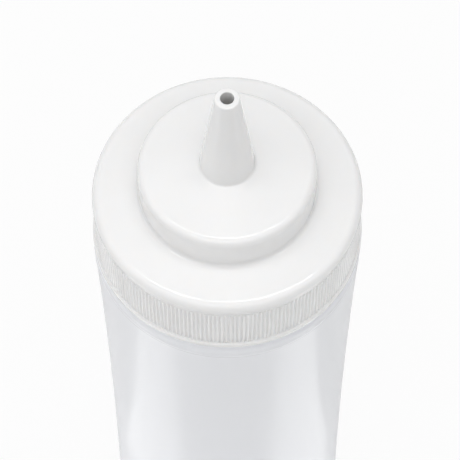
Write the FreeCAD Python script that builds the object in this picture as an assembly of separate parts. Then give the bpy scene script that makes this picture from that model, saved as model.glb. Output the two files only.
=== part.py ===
import FreeCAD, Part
import math
import os

# Squeeze bottle with a ribbed screw cap and a cone nozzle.
# All lengths are millimetres. +Z is up and the origin is the middle of the foot.

# Overall sizes
CAP_RADIUS = 35.0
BRIM_HEIGHT = 178.5

# Top of the cap: brim, raised disc and cone nozzle.
# The brim rises a little from its edge to the disc, and the disc from its edge to the nozzle.
BRIM_EDGE = 2.4
BRIM_LIP = 0.7
BRIM_RISE = 1.4
DISC_RADIUS = 22.9
DISC_HEIGHT = 11.65
DISC_EDGE = 1.9
DISC_RISE = 2.2
DISC_FOOT_FILLET = 1.2
NOZZLE_HEIGHT = 32.5
NOZZLE_BASE_RADIUS = 7.1
NOZZLE_TIP_WALL = 1.4
NOZZLE_TIP_EDGE = 0.5
NOZZLE_FOOT_FILLET = 0.7
ORIFICE_RADIUS = 1.7
CAP_WALL = 1.6

# Skirt of the cap, with finger ribs above a smooth rim
SKIRT_DEPTH = 20.5
RIM_HEIGHT = 1.35
RIM_TOP_RISE = 0.25
RIM_OVERHANG = 0.35
RIM_EDGE = 0.3
RIB_COUNT = 197
RIB_DEPTH = 0.38
RIB_INSET = 0.07
RIB_TOP_DROP = 4.4
RIB_FOOT_WIDTH = 0.80
RIB_CREST_WIDTH = 0.44

# Bottle: a side drawn in to a waist by one shallow arc, and a rounded shoulder.
# The arc is turned as short straight spans, which keep within 0.01 mm of it.
SHOULDER_OVERHANG = 0.56
SHOULDER_GAP = 1.3
SHOULDER_FLAT = 0.13
WAIST_INSET = 1.63
WAIST_HEIGHT = 46.0
SIDE_SPANS = 10
BODY_WALL = 1.1
FOOT_EDGE = 4.0
FOOT_WALL = 1.5
FOOT_RING_WIDTH = 5.0
PUSH_UP_HEIGHT = 2.2

# Neck, which stands inside the skirt and seats against the underside of the brim
NECK_WALL = 1.5
NECK_CLEARANCE = 1.0
NECK_FOOT_FILLET = 0.6

AXIS = FreeCAD.Vector(0, 0, 1)
ORIGIN = FreeCAD.Vector(0, 0, 0)

# Heights on the cap
SKIRT_BOTTOM_Z = BRIM_HEIGHT - SKIRT_DEPTH
RIM_TOP_Z = SKIRT_BOTTOM_Z + RIM_HEIGHT
RIB_BOTTOM_Z = RIM_TOP_Z + RIM_TOP_RISE
RIB_TOP_Z = BRIM_HEIGHT - RIB_TOP_DROP
BRIM_UNDER_Z = BRIM_HEIGHT - CAP_WALL
DISC_FOOT_Z = BRIM_HEIGHT + BRIM_RISE
DISC_Z = BRIM_HEIGHT + DISC_HEIGHT
NOZZLE_FOOT_Z = DISC_Z + DISC_RISE
DISC_UNDER_Z = DISC_Z - CAP_WALL
TIP_Z = DISC_Z + NOZZLE_HEIGHT

# Radii on the cap
TIP_RADIUS = ORIFICE_RADIUS + NOZZLE_TIP_WALL
RIB_CREST_RADIUS = CAP_RADIUS - RIB_INSET
RIB_ROOT_RADIUS = RIB_CREST_RADIUS - RIB_DEPTH
RIM_RADIUS = CAP_RADIUS + RIM_OVERHANG
SKIRT_BORE_RADIUS = RIB_ROOT_RADIUS - CAP_WALL

# Sizes of the bottle that follow from the cap
SHOULDER_Z = SKIRT_BOTTOM_Z - SHOULDER_GAP
SHOULDER_RADIUS = CAP_RADIUS + SHOULDER_OVERHANG
WAIST_RADIUS = SHOULDER_RADIUS - WAIST_INSET
NECK_RADIUS = SKIRT_BORE_RADIUS - NECK_CLEARANCE
MOUTH_RADIUS = NECK_RADIUS - NECK_WALL
SHOULDER_EDGE = SHOULDER_RADIUS - NECK_RADIUS - NECK_FOOT_FILLET - SHOULDER_FLAT


def point(radius, z):
    """A profile point in the XZ plane."""
    return FreeCAD.Vector(radius, 0, z)


def lathe(edges):
    """Turn a closed profile of edges once round the axis."""
    face = Part.Face(Part.Wire(edges))
    return face.revolve(ORIGIN, AXIS, 360)


def outline(points):
    """Straight edges from each point to the next."""
    return [Part.makeLine(a, b) for a, b in zip(points, points[1:])]


def round_ring(shape, radius, z, size):
    """Fillet the full-circle edge of this radius at this height."""
    for edge in shape.Edges:
        curve = edge.Curve
        if not isinstance(curve, Part.Circle):
            continue
        same_radius = math.isclose(curve.Radius, radius, abs_tol=1e-4)
        same_height = math.isclose(curve.Center.z, z, abs_tol=1e-4)
        if same_radius and same_height:
            return shape.makeFillet(size, [edge])
    raise ValueError("no ring edge at radius %g, height %g" % (radius, z))


def side_radius(z, inset):
    """Radius of the body's side, set in from the outside by inset."""
    rise = SHOULDER_Z - WAIST_HEIGHT
    sweep = (rise ** 2 + WAIST_INSET ** 2) / (2 * WAIST_INSET)
    flare = sweep - math.sqrt(sweep ** 2 - (z - WAIST_HEIGHT) ** 2)
    return WAIST_RADIUS + flare - inset


def side_points(bottom_z, top_z, inset):
    """Points on the body's side at even heights, from the bottom up."""
    points = []
    for step in range(SIDE_SPANS + 1):
        z = bottom_z + (top_z - bottom_z) * step / SIDE_SPANS
        points.append(point(side_radius(z, inset), z))
    return points


def bottle_blank(floor_z, shoulder_z, neck_radius, inset):
    """Closed turned shape of body and neck, with sharp corners."""
    axis_foot = point(0, floor_z)
    neck = [
        point(neck_radius, shoulder_z),
        point(neck_radius, BRIM_UNDER_Z),
        point(0, BRIM_UNDER_Z),
    ]
    side = side_points(floor_z, shoulder_z, inset)
    return lathe(outline([axis_foot] + side + neck + [axis_foot]))


def rounded_bottle(floor_z, shoulder_z, neck_radius, inset):
    """The same shape with its foot, shoulder and neck corners rounded."""
    foot = side_radius(floor_z, inset)
    shoulder = side_radius(shoulder_z, inset)
    solid = bottle_blank(floor_z, shoulder_z, neck_radius, inset)
    solid = round_ring(solid, foot, floor_z, FOOT_EDGE - inset)
    solid = round_ring(solid, shoulder, shoulder_z, SHOULDER_EDGE - inset)
    return round_ring(solid, neck_radius, shoulder_z, NECK_FOOT_FILLET)


def foot_dome():
    """The shallow dome pushed up into the foot."""
    edge_radius = side_radius(0, FOOT_EDGE + FOOT_RING_WIDTH)
    ball_radius = (edge_radius ** 2 + PUSH_UP_HEIGHT ** 2) / (2 * PUSH_UP_HEIGHT)
    centre = FreeCAD.Vector(0, 0, PUSH_UP_HEIGHT - ball_radius)
    poles_sideways = FreeCAD.Vector(1, 0, 0)
    return Part.makeSphere(ball_radius, centre, poles_sideways)


def build_bottle():
    """Hollow body, shoulder and open neck."""
    outside = rounded_bottle(0, SHOULDER_Z, NECK_RADIUS, 0)
    floor_z = PUSH_UP_HEIGHT + FOOT_WALL
    inside = rounded_bottle(floor_z, SHOULDER_Z - BODY_WALL, MOUTH_RADIUS, BODY_WALL)
    return outside.cut(inside).cut(foot_dome())


def cap_blank():
    """Solid cap without its ribs, from the rim to the nozzle's tip."""
    lip_z = BRIM_HEIGHT - BRIM_EDGE - BRIM_LIP
    points = [
        point(0, SKIRT_BOTTOM_Z),
        point(RIM_RADIUS, SKIRT_BOTTOM_Z),
        point(RIM_RADIUS, RIM_TOP_Z),
        point(RIB_ROOT_RADIUS, RIB_BOTTOM_Z),
        point(RIB_ROOT_RADIUS, lip_z),
        point(CAP_RADIUS, lip_z + BRIM_LIP / 2),
        point(CAP_RADIUS, BRIM_HEIGHT),
        point(DISC_RADIUS, DISC_FOOT_Z),
        point(DISC_RADIUS, DISC_Z),
        point(NOZZLE_BASE_RADIUS, NOZZLE_FOOT_Z),
        point(TIP_RADIUS, TIP_Z),
        point(0, TIP_Z),
        point(0, SKIRT_BOTTOM_Z),
    ]
    solid = lathe(outline(points))
    solid = round_ring(solid, CAP_RADIUS, BRIM_HEIGHT, BRIM_EDGE)
    solid = round_ring(solid, DISC_RADIUS, DISC_Z, DISC_EDGE)
    solid = round_ring(solid, DISC_RADIUS, DISC_FOOT_Z, DISC_FOOT_FILLET)
    solid = round_ring(solid, NOZZLE_BASE_RADIUS, NOZZLE_FOOT_Z, NOZZLE_FOOT_FILLET)
    solid = round_ring(solid, TIP_RADIUS, TIP_Z, NOZZLE_TIP_EDGE)
    solid = round_ring(solid, RIM_RADIUS, SKIRT_BOTTOM_Z, RIM_EDGE)
    return round_ring(solid, RIM_RADIUS, RIM_TOP_Z, RIM_EDGE)


def cap_hollow():
    """The space in the skirt, disc and nozzle, open at the rim and the tip.

    The underside of the brim is flat over the neck and rises inside the mouth.
    """
    disc_bore_radius = DISC_RADIUS - CAP_WALL
    slope = BRIM_RISE / (CAP_RADIUS - DISC_RADIUS)
    brim_inner_z = BRIM_UNDER_Z + slope * (MOUTH_RADIUS - disc_bore_radius)
    cone_bore_radius = NOZZLE_BASE_RADIUS - CAP_WALL
    points = [
        point(0, SKIRT_BOTTOM_Z),
        point(SKIRT_BORE_RADIUS, SKIRT_BOTTOM_Z),
        point(SKIRT_BORE_RADIUS, BRIM_UNDER_Z),
        point(MOUTH_RADIUS, BRIM_UNDER_Z),
        point(disc_bore_radius, brim_inner_z),
        point(disc_bore_radius, DISC_UNDER_Z),
        point(cone_bore_radius, NOZZLE_FOOT_Z - CAP_WALL),
        point(ORIFICE_RADIUS, TIP_Z),
        point(0, TIP_Z),
        point(0, SKIRT_BOTTOM_Z),
    ]
    return lathe(outline(points))


def upright_edge(radius, half_width, low_z, high_z):
    """Corners of an upright rectangle across the +X axis, in order."""
    return [
        FreeCAD.Vector(radius, -half_width, low_z),
        FreeCAD.Vector(radius, half_width, low_z),
        FreeCAD.Vector(radius, half_width, high_z),
        FreeCAD.Vector(radius, -half_width, high_z),
    ]


def build_rib():
    """One rib on the +X side, narrower and shorter at its crest than at its foot."""
    back = upright_edge(
        RIB_ROOT_RADIUS - RIB_DEPTH,
        RIB_FOOT_WIDTH / 2,
        RIB_BOTTOM_Z - RIB_DEPTH,
        RIB_TOP_Z + RIB_DEPTH,
    )
    front = upright_edge(
        RIB_CREST_RADIUS,
        RIB_CREST_WIDTH / 2,
        RIB_BOTTOM_Z - RIB_DEPTH,
        RIB_TOP_Z - RIB_DEPTH,
    )
    quads = [back, front]
    for i in range(4):
        j = (i + 1) % 4
        quads.append([back[i], back[j], front[j], front[i]])
    faces = [Part.Face(Part.makePolygon(quad + quad[:1])) for quad in quads]
    solid = Part.Solid(Part.Shell(faces))
    if solid.Volume < 0:
        solid.reverse()
    return solid


def build_cap():
    """Hollow cap with its ribs joined on."""
    first = build_rib()
    ribs = []
    for index in range(RIB_COUNT):
        rib = first.copy()
        rib.rotate(ORIGIN, AXIS, 360 * index / RIB_COUNT)
        ribs.append(rib)
    return cap_blank().fuse(ribs).cut(cap_hollow())


def single_solid(shape):
    """The one sound solid that a node has to be."""
    if len(shape.Solids) != 1:
        raise ValueError("expected one solid, found %d" % len(shape.Solids))
    solid = shape.Solids[0]
    if not solid.isValid():
        raise ValueError("the solid is not valid")
    return solid


os.makedirs("parts", exist_ok=True)
builders = {"bottle": build_bottle, "cap": build_cap}
for node, build in builders.items():
    solid = single_solid(build())
    solid.exportStep("parts/%s.step" % node)
    print(node, "volume %.0f mm3" % solid.Volume)
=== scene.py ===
import math

import bmesh
import bpy
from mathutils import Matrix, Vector


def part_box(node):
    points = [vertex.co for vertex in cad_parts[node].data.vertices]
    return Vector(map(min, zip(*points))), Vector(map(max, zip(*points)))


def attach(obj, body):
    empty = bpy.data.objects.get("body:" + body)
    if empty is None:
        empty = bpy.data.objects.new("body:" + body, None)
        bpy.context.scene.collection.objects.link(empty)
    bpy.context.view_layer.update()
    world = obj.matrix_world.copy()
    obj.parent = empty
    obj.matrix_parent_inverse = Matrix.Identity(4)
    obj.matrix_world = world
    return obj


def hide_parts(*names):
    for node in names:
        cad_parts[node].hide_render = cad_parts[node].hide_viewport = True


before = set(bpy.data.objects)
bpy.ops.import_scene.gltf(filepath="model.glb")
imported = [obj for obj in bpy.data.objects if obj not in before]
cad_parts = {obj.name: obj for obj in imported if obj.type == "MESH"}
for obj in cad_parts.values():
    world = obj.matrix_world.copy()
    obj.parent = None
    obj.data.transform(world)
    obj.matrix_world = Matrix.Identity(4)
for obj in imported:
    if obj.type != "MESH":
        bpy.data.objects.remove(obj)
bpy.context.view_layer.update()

# ---------------------------------------------------------------------------
# Sizes, in metres. The frame gives where the bottle and the cap begin and end.
# ---------------------------------------------------------------------------

MM = 0.001

_, bottle_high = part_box("bottle")
cap_low, cap_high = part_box("cap")

# Cap
CAP_WALL = 1.6 * MM
RIM_OVERHANG = 0.35 * MM
RIM_FLARE = 0.2 * MM
RIM_RADIUS = cap_high.x + RIM_FLARE
CAP_RADIUS = cap_high.x - RIM_OVERHANG
RIM_BOTTOM = cap_low.z
RIM_INNER_EDGE = 0.3 * MM
RIM_OUTER_EDGE = 0.35 * MM
BRIM_TOP = bottle_high.z + CAP_WALL
BRIM_EDGE = 2.4 * MM
BRIM_RISE = 1.4 * MM
LIP_HEIGHT = 0.7 * MM
LIP_EDGE = 0.25 * MM
LIP_FOOT_EDGE = 0.08 * MM
DISC_RADIUS = 22.9 * MM
DISC_TOP = BRIM_TOP + 11.65 * MM
DISC_EDGE = 2.1 * MM
DISC_RISE = 2.2 * MM
DISC_FOOT_FILLET = 1.1 * MM

# Nozzle
TIP_TOP = cap_high.z
TIP_RADIUS = 3.1 * MM
TIP_EDGE = 0.5 * MM
ORIFICE_RADIUS = 1.7 * MM
ORIFICE_EDGE = 0.15 * MM
NOZZLE_BASE_RADIUS = 7.1 * MM
NOZZLE_FOOT_FILLET = 0.7 * MM

# Hollow of the cap
CONE_BORE_FILLET = 0.5 * MM
DISC_BORE_FILLET = 0.8 * MM
BRIM_BORE_FILLET = 0.4 * MM
LAND_EDGE = 0.2 * MM
SKIRT_BORE_FILLET = 0.4 * MM

# Finger ribs, and the rim's flange below them
RIB_COUNT = 197
RIB_DEPTH = 0.38 * MM
RIB_CREST_RADIUS = CAP_RADIUS - 0.07 * MM
RIB_ROOT_RADIUS = RIB_CREST_RADIUS - RIB_DEPTH
RIB_TOP = BRIM_TOP - 4.4 * MM
RIB_BOTTOM = RIM_BOTTOM + 1.6 * MM
RIB_TIP_TOP = RIB_TOP + 0.5 * RIB_DEPTH
RIB_TIP_HEIGHT = 1.5 * RIB_DEPTH
FLANGE_HEIGHT = 1.32 * MM
FLANGE_EDGE = 0.3 * MM
FLANGE_COVE = 0.2 * MM
SKIRT_BORE_RADIUS = RIB_ROOT_RADIUS - CAP_WALL

# Rows the ribs are shaped on: heights over their foot, shares of their length,
# and shares of the rounded tip's height down from the tip
RIB_FOOT_ROWS = (0.6 * MM, 1.2 * MM)
RIB_MIDDLE_ROWS = (0.33, 0.67)
RIB_TIP_ROWS = (1.0, 0.55, 0.26, 0.09, 0.0)

# Places across one rib, as a share of the pitch, and how far each stands out
RIB_SECTION = ((0.0, 0.0), (0.15, 0.12), (0.29, 0.86), (0.5, 1.0), (0.71, 0.86), (0.85, 0.12))

# Bottle
BODY_WALL = 1.1 * MM
FOOT_WALL = 1.5 * MM
FOOT_EDGE = 4.0 * MM
FOOT_RING_WIDTH = 5.0 * MM
FOOT_RING_EDGE = 0.5 * MM
PUSH_UP_HEIGHT = 2.2 * MM
SHOULDER_TOP = RIM_BOTTOM - 1.3 * MM
SHOULDER_RADIUS = CAP_RADIUS + 0.56 * MM
WAIST_INSET = 1.63 * MM
WAIST_HEIGHT = 46.0 * MM
NECK_RADIUS = SKIRT_BORE_RADIUS - 1.0 * MM
NECK_WALL = 1.5 * MM
NECK_FOOT_FILLET = 0.6 * MM
NECK_TOP_EDGE = 0.2 * MM
SHOULDER_FLAT = 0.13 * MM
SHOULDER_EDGE = SHOULDER_RADIUS - NECK_RADIUS - NECK_FOOT_FILLET - SHOULDER_FLAT

# A faint ridge where the shoulder meets the side
RIDGE_RISE = 0.12 * MM
RIDGE_HALF = 0.75 * MM
RIDGE_HEIGHT = SHOULDER_TOP - 4.1 * MM
RIDGE_ROUNDING = 1.2 * MM

# How finely curves are cut
ARC_STEP = math.radians(11)
BOTTLE_STEPS = 256
SIDE_SPANS = 24
DOME_SPANS = 8
SUPPORT = 0.18 * MM
SUPPORT_SHARE = 0.3
WELD = 0.0001 * MM

# Room light by direction: low down all round, low behind, low on the left,
# overhead, and overhead in front. Overhead fades in between two heights of 0 to 1.
ROOM_LOW = 0.151
ROOM_BEHIND = 0.4
ROOM_LEFT = 0.3
ROOM_OVERHEAD = 0.462
ROOM_FRONT = 2.63
OVERHEAD_FROM = 0.3
OVERHEAD_TO = 0.95

# Lamps aimed at the cap: azimuth and elevation in degrees, distance, size, power
SOFTBOXES = (
    ("ceiling_panel", 180, 80, 1.2, (1.6, 0.9), 1.0),
    ("key_strip", 180, 82, 1.19, (0.9, 0.1), 3.0),
    ("left_softbox", -80, 32, 1.2, (0.6, 0.9), 1.16),
    ("right_softbox", 80, 32, 1.2, (0.6, 0.9), 1.02),
)

# Strip lamps on the floor: azimuth in degrees and power
STRIP_SIZE = (0.055, 0.22)
STRIP_DISTANCE = 0.155
STRIP_HEIGHT = 2 * MM
STRIPS = (("left_strip", -60, 0.0208), ("right_strip", 57, 0.0234))

# Floor
FLOOR_HALF = 4.0
FLOOR_SHADE = 0.85
FLOOR_GLOW = 0.026
FLOOR_WHITENESS = 0.9

# Camera: place in cap radii from the brim's middle, angles in radians, lens in mm
CAMERA_BACK = 9.1757
CAMERA_UP = 15.9695
CAMERA_TILT = math.radians(28.94)
CAMERA_TURN = -0.0022
CAMERA_LENS = 195.65
CAMERA_SENSOR = 36


# ---------------------------------------------------------------------------
# Turned shapes
# ---------------------------------------------------------------------------

def rounded_corner(before, corner, after, size):
    """Points of the arc that rounds one corner of a profile."""
    to_before = (before - corner).normalized()
    to_after = (after - corner).normalized()
    opening = to_before.angle(to_after)
    bend = math.pi - opening
    reach = size * math.tan(bend / 2)
    middle = (to_before + to_after).normalized()
    centre = corner + middle * (size / math.sin(opening / 2))
    start = corner + to_before * reach
    end = corner + to_after * reach
    spans = max(2, math.ceil(bend / ARC_STEP))
    a = start - centre
    b = end - centre
    points = []
    for step in range(spans + 1):
        share = step / spans
        weight_a = math.sin((1 - share) * bend) / math.sin(bend)
        weight_b = math.sin(share * bend) / math.sin(bend)
        points.append(centre + a * weight_a + b * weight_b)
    return points


def support(end, far):
    """A point on the flat just past the end of an arc, toward the next corner."""
    room = (far - end).length
    return end + (far - end).normalized() * min(SUPPORT, room * SUPPORT_SHARE)


def profile(corners):
    """Points of a profile from (radius, height, rounding) corners.

    Each rounded corner gets a support point on either side, so that the flat
    next to it stays flat when it is shaded.
    """
    flat = [Vector((radius, height)) for radius, height, _ in corners]
    points = []
    for i, (_, _, size) in enumerate(corners):
        before = flat[i - 1]
        corner = flat[i]
        after = flat[(i + 1) % len(flat)]
        if size == 0:
            points.append(corner)
            continue
        arc = rounded_corner(before, corner, after, size)
        points.append(support(arc[0], before))
        points.extend(arc)
        points.append(support(arc[-1], after))
    return points


def turn(points, steps, closed=True):
    """Spin a profile once round the upright axis.

    An open profile has both its ends on the axis.
    """
    bm = bmesh.new()
    verts = [bm.verts.new((p.x, 0, p.y)) for p in points]
    for a, b in zip(verts, verts[1:]):
        bm.edges.new((a, b))
    if closed:
        bm.edges.new((verts[-1], verts[0]))
    bmesh.ops.spin(
        bm,
        geom=bm.verts[:] + bm.edges[:],
        cent=(0, 0, 0),
        axis=(0, 0, 1),
        dvec=(0, 0, 0),
        angle=2 * math.pi,
        steps=steps,
        use_merge=True,
        use_duplicate=False,
    )
    bmesh.ops.remove_doubles(bm, verts=bm.verts, dist=WELD)
    bmesh.ops.recalc_face_normals(bm, faces=bm.faces)
    return bm


def finished(bm, name, material, node):
    """Make the mesh an object that stands for a CAD node."""
    mesh = bpy.data.meshes.new(name)
    bm.to_mesh(mesh)
    bm.free()
    mesh.shade_smooth()
    piece = bpy.data.objects.new(name, mesh)
    bpy.context.scene.collection.objects.link(piece)
    mesh.materials.append(material)
    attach(piece, "root")
    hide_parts(node)
    return piece


# ---------------------------------------------------------------------------
# Bottle
# ---------------------------------------------------------------------------

def side_radius(height, inset):
    """Radius of the body's side, one shallow arc drawn in at the waist."""
    rise = SHOULDER_TOP - WAIST_HEIGHT
    sweep = (rise ** 2 + WAIST_INSET ** 2) / (2 * WAIST_INSET)
    flare = sweep - math.sqrt(sweep ** 2 - (height - WAIST_HEIGHT) ** 2)
    return SHOULDER_RADIUS - WAIST_INSET + flare - inset


def side(low, high, inset):
    """Plain corners up the body's side, ends left out."""
    corners = []
    for step in range(1, SIDE_SPANS):
        height = low + (high - low) * step / SIDE_SPANS
        corners.append((side_radius(height, inset), height, 0))
    return corners


def dome_height(radius, edge_radius, rise):
    """Height of a shallow dome over a radius."""
    ball = (edge_radius ** 2 + rise ** 2) / (2 * rise)
    return rise - ball + math.sqrt(ball ** 2 - radius ** 2)


def push_up():
    """Corners of the domed underside, from the axis out to the foot's ring."""
    edge = side_radius(0, FOOT_EDGE + FOOT_RING_WIDTH)
    corners = [(0, PUSH_UP_HEIGHT, 0)]
    for step in range(1, DOME_SPANS):
        radius = edge * step / DOME_SPANS
        corners.append((radius, dome_height(radius, edge, PUSH_UP_HEIGHT), 0))
    corners.append((edge, 0, FOOT_RING_EDGE))
    return corners


def shoulder_ridge():
    """Corners of the faint ridge round the top of the side."""
    corners = []
    for offset, rise in ((-RIDGE_HALF, 0), (0, RIDGE_RISE), (RIDGE_HALF, 0)):
        height = RIDGE_HEIGHT + offset
        corners.append((side_radius(height, -rise), height, RIDGE_ROUNDING))
    return corners


def bottle_profile():
    """The bottle's outside from the axis up, and its inside back down to it."""
    floor = PUSH_UP_HEIGHT + FOOT_WALL
    ceiling = SHOULDER_TOP - BODY_WALL
    mouth = NECK_RADIUS - NECK_WALL
    neck_top = bottle_high.z
    below_ridge = RIDGE_HEIGHT - 2 * RIDGE_HALF
    corners = push_up()
    corners.append((side_radius(0, 0), 0, FOOT_EDGE))
    corners += [corner for corner in side(0, SHOULDER_TOP, 0) if corner[1] < below_ridge]
    corners += shoulder_ridge()
    corners += [
        (side_radius(SHOULDER_TOP, 0), SHOULDER_TOP, SHOULDER_EDGE),
        (NECK_RADIUS, SHOULDER_TOP, NECK_FOOT_FILLET),
        (NECK_RADIUS, neck_top, NECK_TOP_EDGE),
        (mouth, neck_top, NECK_TOP_EDGE),
        (mouth, ceiling, NECK_FOOT_FILLET),
        (side_radius(ceiling, BODY_WALL), ceiling, SHOULDER_EDGE - BODY_WALL),
    ]
    corners += reversed(side(floor, ceiling, BODY_WALL))
    corners.append((side_radius(floor, BODY_WALL), floor, FOOT_EDGE - BODY_WALL))
    corners.append((0, floor, 0))
    return profile(corners)


def make_bottle(material):
    """The hollow bottle, open at its neck."""
    bm = turn(bottle_profile(), BOTTLE_STEPS, closed=False)
    return finished(bm, "bottle_shell", material, "bottle")


# ---------------------------------------------------------------------------
# Cap
# ---------------------------------------------------------------------------

def rib_rows():
    """Heights of the skirt's rows, from the rim up, that the ribs are shaped on."""
    rows = [RIB_BOTTOM + height for height in RIB_FOOT_ROWS]
    rows += [RIB_BOTTOM + (RIB_TOP - RIB_BOTTOM) * share for share in RIB_MIDDLE_ROWS]
    rows += [RIB_TIP_TOP - RIB_TIP_HEIGHT * share for share in RIB_TIP_ROWS]
    return rows


def cap_profile():
    """The cap's outside from the rim up to the tip, and its hollow back down."""
    lip = BRIM_TOP - BRIM_EDGE - LIP_HEIGHT
    disc_bore = DISC_RADIUS - CAP_WALL
    disc_under = DISC_TOP - CAP_WALL
    brim_under = BRIM_TOP - CAP_WALL
    cone_bore = NOZZLE_BASE_RADIUS - CAP_WALL
    slope = BRIM_RISE / (CAP_RADIUS - DISC_RADIUS)
    mouth = NECK_RADIUS - NECK_WALL
    corners = [
        (SKIRT_BORE_RADIUS, RIM_BOTTOM, RIM_INNER_EDGE),
        (RIM_RADIUS, RIM_BOTTOM, RIM_OUTER_EDGE),
        (RIM_RADIUS, RIM_BOTTOM + FLANGE_HEIGHT, FLANGE_EDGE),
        (RIB_ROOT_RADIUS, RIB_BOTTOM, FLANGE_COVE),
    ]
    corners += [(RIB_ROOT_RADIUS, height, 0) for height in rib_rows()]
    corners += [
        (RIB_ROOT_RADIUS, lip, LIP_FOOT_EDGE),
        (CAP_RADIUS, lip + LIP_HEIGHT / 2, LIP_EDGE),
        (CAP_RADIUS, BRIM_TOP, BRIM_EDGE),
        (DISC_RADIUS, BRIM_TOP + BRIM_RISE, DISC_FOOT_FILLET),
        (DISC_RADIUS, DISC_TOP, DISC_EDGE),
        (NOZZLE_BASE_RADIUS, DISC_TOP + DISC_RISE, NOZZLE_FOOT_FILLET),
        (TIP_RADIUS, TIP_TOP, TIP_EDGE),
        (ORIFICE_RADIUS, TIP_TOP, ORIFICE_EDGE),
        (cone_bore, disc_under + DISC_RISE, CONE_BORE_FILLET),
        (disc_bore, disc_under, DISC_BORE_FILLET),
        (disc_bore, brim_under + slope * (mouth - disc_bore), BRIM_BORE_FILLET),
        (mouth, brim_under, LAND_EDGE),
        (SKIRT_BORE_RADIUS, brim_under, SKIRT_BORE_FILLET),
    ]
    return profile(corners)


def rib_end(height):
    """How much of a rib stands at this height: its top end is a quarter round."""
    fall = min(1.0, max(0.0, (RIB_TIP_TOP - height) / RIB_TIP_HEIGHT))
    return math.sqrt(1 - (1 - fall) ** 2)


def on_rib_band(vert):
    """Whether a point of the turned cap lies where the ribs are."""
    low = RIM_BOTTOM + FLANGE_HEIGHT
    high = RIB_TIP_TOP + 0.01 * MM
    inner = RIB_ROOT_RADIUS - 0.05 * MM
    return low < vert.co.z < high and inner < vert.co.xy.length < RIB_CREST_RADIUS


def is_level(edge):
    """Whether an edge lies flat in one of the skirt's rows."""
    a, b = edge.verts
    return abs(a.co.z - b.co.z) < 0.001 * MM


def raise_ribs(bm):
    """Cut each pitch of the skirt into a rib's section and push its crest out."""
    rings = [e for e in bm.edges if is_level(e) and all(on_rib_band(v) for v in e.verts)]
    places = len(RIB_SECTION)
    bmesh.ops.subdivide_edges(bm, edges=rings, cuts=places - 1, use_grid_fill=True)
    pitch = 2 * math.pi / RIB_COUNT
    slack = 0.02
    for vert in [v for v in bm.verts if on_rib_band(v)]:
        angle = math.atan2(vert.co.y, vert.co.x) % (2 * math.pi)
        place = angle / pitch
        index = math.floor(place + slack)
        step = round((place - index) * places) % places
        share, height = RIB_SECTION[step]
        rib = RIB_ROOT_RADIUS + RIB_DEPTH * height * rib_end(vert.co.z)
        radius = max(rib, vert.co.xy.length)
        turned_to = (index + share) * pitch
        vert.co.x = radius * math.cos(turned_to)
        vert.co.y = radius * math.sin(turned_to)


def make_cap(material):
    """The one-piece cap with its ribs, disc and nozzle."""
    bm = turn(cap_profile(), RIB_COUNT)
    raise_ribs(bm)
    bmesh.ops.recalc_face_normals(bm, faces=bm.faces)
    return finished(bm, "cap_shell", material, "cap")


# ---------------------------------------------------------------------------
# Materials
# ---------------------------------------------------------------------------

def node_material(name):
    """A new material with its Principled shader and object coordinates."""
    material = bpy.data.materials.new(name)
    material.use_nodes = True
    tree = material.node_tree
    shader = tree.nodes["Principled BSDF"]
    place = tree.nodes.new("ShaderNodeTexCoord")
    return material, tree, shader, place


def noise(tree, place, scale, detail, stretch=(1, 1, 1)):
    """Noise over the object, stretched along its axes."""
    mapping = tree.nodes.new("ShaderNodeMapping")
    mapping.inputs["Scale"].default_value = stretch
    tree.links.new(place.outputs["Object"], mapping.inputs["Vector"])
    texture = tree.nodes.new("ShaderNodeTexNoise")
    texture.inputs["Scale"].default_value = scale
    texture.inputs["Detail"].default_value = detail
    tree.links.new(mapping.outputs["Vector"], texture.inputs["Vector"])
    return texture.outputs["Fac"]


def spread(tree, value, low, high):
    """Map the middle of the noise to a range."""
    node = tree.nodes.new("ShaderNodeMapRange")
    node.inputs["From Min"].default_value = 0.3
    node.inputs["From Max"].default_value = 0.7
    node.inputs["To Min"].default_value = low
    node.inputs["To Max"].default_value = high
    tree.links.new(value, node.inputs["Value"])
    return node.outputs["Result"]


def tinted(tree, value, low, high):
    """Blend two colours by a value."""
    node = tree.nodes.new("ShaderNodeMix")
    node.data_type = "RGBA"
    node.inputs["A"].default_value = (*low, 1)
    node.inputs["B"].default_value = (*high, 1)
    tree.links.new(value, node.inputs["Factor"])
    return node.outputs["Result"]


def bumped(tree, height, depth):
    """A bump of a given depth in metres."""
    node = tree.nodes.new("ShaderNodeBump")
    node.inputs["Strength"].default_value = 1.0
    node.inputs["Distance"].default_value = depth
    tree.links.new(height, node.inputs["Height"])
    return node.outputs["Normal"]


def reckon(tree, operation, first, second):
    """One sum of two values; either may be a number or another node's output."""
    node = tree.nodes.new("ShaderNodeMath")
    node.operation = operation
    for value, socket in zip((first, second), node.inputs):
        if isinstance(value, (int, float)):
            socket.default_value = value
        else:
            tree.links.new(value, socket)
    return node.outputs["Value"]


def moulded_white():
    """White semi-gloss plastic of the cap."""
    material, tree, shader, place = node_material("moulded_white_plastic")
    cloud = noise(tree, place, 60, 3)
    grain = noise(tree, place, 1800, 2)
    colour = tinted(tree, cloud, (0.922, 0.919, 0.914), (0.942, 0.939, 0.934))
    tree.links.new(colour, shader.inputs["Base Color"])
    tree.links.new(spread(tree, cloud, 0.09, 0.12), shader.inputs["Roughness"])
    tree.links.new(bumped(tree, grain, 0.001 * MM), shader.inputs["Normal"])
    shader.inputs["IOR"].default_value = 1.49
    shader.inputs["Subsurface Weight"].default_value = 0.7
    shader.inputs["Subsurface Radius"].default_value = (1.0, 0.96, 0.92)
    shader.inputs["Subsurface Scale"].default_value = 0.45 * MM
    return material


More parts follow.
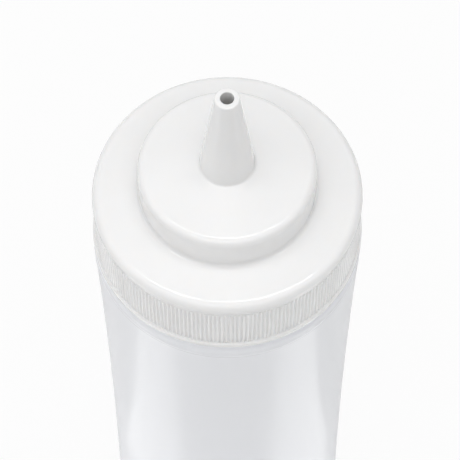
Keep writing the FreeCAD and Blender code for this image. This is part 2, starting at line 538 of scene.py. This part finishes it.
def milky_soft():
    """Milky soft plastic of the bottle."""
    material, tree, shader, place = node_material("milky_soft_plastic")
    cloud = noise(tree, place, 35, 3, (1, 1, 0.25))
    streak = noise(tree, place, 240, 2, (1, 1, 0.03))
    colour = tinted(tree, cloud, (0.918, 0.938, 0.99), (0.932, 0.951, 0.998))
    tree.links.new(colour, shader.inputs["Base Color"])
    tree.links.new(spread(tree, cloud, 0.215, 0.262), shader.inputs["Roughness"])
    tree.links.new(bumped(tree, streak, 0.003 * MM), shader.inputs["Normal"])
    shader.inputs["IOR"].default_value = 1.5
    shader.inputs["Subsurface Weight"].default_value = 0.4
    shader.inputs["Subsurface Radius"].default_value = (1.0, 1.0, 1.0)
    shader.inputs["Subsurface Scale"].default_value = 1.0 * MM
    return material


def pale_floor():
    """White floor: glows a little, and still takes the bottle's soft shadow."""
    material = bpy.data.materials.new("pale_floor")
    material.use_nodes = True
    tree = material.node_tree
    tree.nodes.clear()
    output = tree.nodes.new("ShaderNodeOutputMaterial")
    diffuse = tree.nodes.new("ShaderNodeBsdfDiffuse")
    diffuse.inputs["Color"].default_value = (FLOOR_SHADE, FLOOR_SHADE, FLOOR_SHADE, 1)
    glow = tree.nodes.new("ShaderNodeEmission")
    glow.inputs["Strength"].default_value = FLOOR_GLOW
    lit = tree.nodes.new("ShaderNodeAddShader")
    tree.links.new(diffuse.outputs["BSDF"], lit.inputs[0])
    tree.links.new(glow.outputs["Emission"], lit.inputs[1])
    seen = tree.nodes.new("ShaderNodeEmission")
    seen.inputs["Strength"].default_value = 1.0
    path = tree.nodes.new("ShaderNodeLightPath")
    whiteness = reckon(tree, "MULTIPLY", path.outputs["Is Camera Ray"], FLOOR_WHITENESS)
    mix = tree.nodes.new("ShaderNodeMixShader")
    tree.links.new(whiteness, mix.inputs["Fac"])
    tree.links.new(lit.outputs["Shader"], mix.inputs[1])
    tree.links.new(seen.outputs["Emission"], mix.inputs[2])
    tree.links.new(mix.outputs["Shader"], output.inputs["Surface"])
    return material


# ---------------------------------------------------------------------------
# Stage, lights and camera
# ---------------------------------------------------------------------------

def make_floor():
    """A plain square floor under the bottle."""
    bm = bmesh.new()
    bmesh.ops.create_grid(bm, x_segments=2, y_segments=2, size=FLOOR_HALF)
    mesh = bpy.data.meshes.new("floor")
    bm.to_mesh(mesh)
    bm.free()
    mesh.materials.append(pale_floor())
    floor = bpy.data.objects.new("floor", mesh)
    bpy.context.scene.collection.objects.link(floor)


def room_light(tree):
    """Strength of the room's light in each direction: dim low down, brighter overhead."""

    def times(first, second):
        return reckon(tree, "MULTIPLY", first, second)

    def toward(axis, sign):
        return reckon(tree, "MAXIMUM", times(split.outputs[axis], sign), 0.0)

    way = tree.nodes.new("ShaderNodeTexCoord")
    split = tree.nodes.new("ShaderNodeSeparateXYZ")
    tree.links.new(way.outputs["Generated"], split.inputs["Vector"])
    ramp = tree.nodes.new("ShaderNodeMapRange")
    ramp.interpolation_type = "SMOOTHSTEP"
    ramp.inputs["From Min"].default_value = OVERHEAD_FROM
    ramp.inputs["From Max"].default_value = OVERHEAD_TO
    tree.links.new(split.outputs["Z"], ramp.inputs["Value"])
    overhead = ramp.outputs["Result"]
    low = reckon(tree, "SUBTRACT", 1.0, overhead)
    total = times(low, ROOM_LOW)
    for part in (
        times(times(low, toward("Y", 1.0)), ROOM_BEHIND),
        times(times(low, toward("X", -1.0)), ROOM_LEFT),
        times(overhead, ROOM_OVERHEAD),
        times(times(overhead, toward("Y", -1.0)), ROOM_FRONT),
    ):
        total = reckon(tree, "ADD", total, part)
    return total


def make_world():
    """The room's light, and plain white where the camera looks past everything."""
    world = bpy.data.worlds.new("studio")
    bpy.context.scene.world = world
    world.use_nodes = True
    tree = world.node_tree
    tree.nodes.clear()
    output = tree.nodes.new("ShaderNodeOutputWorld")
    light = tree.nodes.new("ShaderNodeBackground")
    light.inputs["Color"].default_value = (1.0, 1.0, 1.0, 1)
    tree.links.new(room_light(tree), light.inputs["Strength"])
    white = tree.nodes.new("ShaderNodeBackground")
    white.inputs["Color"].default_value = (1.0, 1.0, 1.0, 1)
    white.inputs["Strength"].default_value = 1.0
    path = tree.nodes.new("ShaderNodeLightPath")
    mix = tree.nodes.new("ShaderNodeMixShader")
    tree.links.new(path.outputs["Is Camera Ray"], mix.inputs["Fac"])
    tree.links.new(light.outputs["Background"], mix.inputs[1])
    tree.links.new(white.outputs["Background"], mix.inputs[2])
    tree.links.new(mix.outputs["Shader"], output.inputs["Surface"])


def lamp(name, size, power):
    """A rectangular lamp that the camera doesn't see."""
    data = bpy.data.lights.new(name, "AREA")
    data.shape = "RECTANGLE"
    data.size, data.size_y = size
    data.energy = power
    made = bpy.data.objects.new(name, data)
    bpy.context.scene.collection.objects.link(made)
    made.visible_camera = False
    return made


def softbox(name, azimuth, elevation, distance, size, power):
    """A lamp aimed at the cap from a direction round the bottle."""
    made = lamp(name, size, power)
    a, e = math.radians(azimuth), math.radians(elevation)
    way = Vector((math.sin(a) * math.cos(e), -math.cos(a) * math.cos(e), math.sin(e)))
    aim = Vector((0, 0, BRIM_TOP))
    made.location = aim + way * distance
    made.rotation_euler = way.to_track_quat("Z", "Y").to_euler()


def floor_strip(name, azimuth, power):
    """A strip lamp just over the floor, facing up, its length away from the bottle."""
    made = lamp(name, STRIP_SIZE, power)
    a = math.radians(azimuth)
    way = Vector((math.sin(a), -math.cos(a), 0))
    made.location = way * STRIP_DISTANCE + Vector((0, 0, STRIP_HEIGHT))
    made.rotation_euler = (math.pi, 0, a)


def make_lights():
    """All lamps of the studio."""
    for name, azimuth, elevation, distance, size, power in SOFTBOXES:
        softbox(name, azimuth, elevation, distance, size, power)
    for name, azimuth, power in STRIPS:
        floor_strip(name, azimuth, power)


def make_camera():
    """The camera, looking down at the cap from in front."""
    data = bpy.data.cameras.new("camera")
    camera = bpy.data.objects.new("camera", data)
    bpy.context.scene.collection.objects.link(camera)
    camera.location = (0, -CAMERA_BACK * CAP_RADIUS, BRIM_TOP + CAMERA_UP * CAP_RADIUS)
    camera.rotation_euler = (CAMERA_TILT, 0, CAMERA_TURN)
    data.sensor_width = CAMERA_SENSOR
    data.lens = CAMERA_LENS
    bpy.context.scene.camera = camera


bpy.context.scene.view_settings.view_transform = "Standard"
bpy.context.scene.cycles.max_bounces = 16
bpy.context.scene.cycles.diffuse_bounces = 12
make_camera()
make_world()
make_lights()
make_floor()
make_bottle(milky_soft())
make_cap(moulded_white())
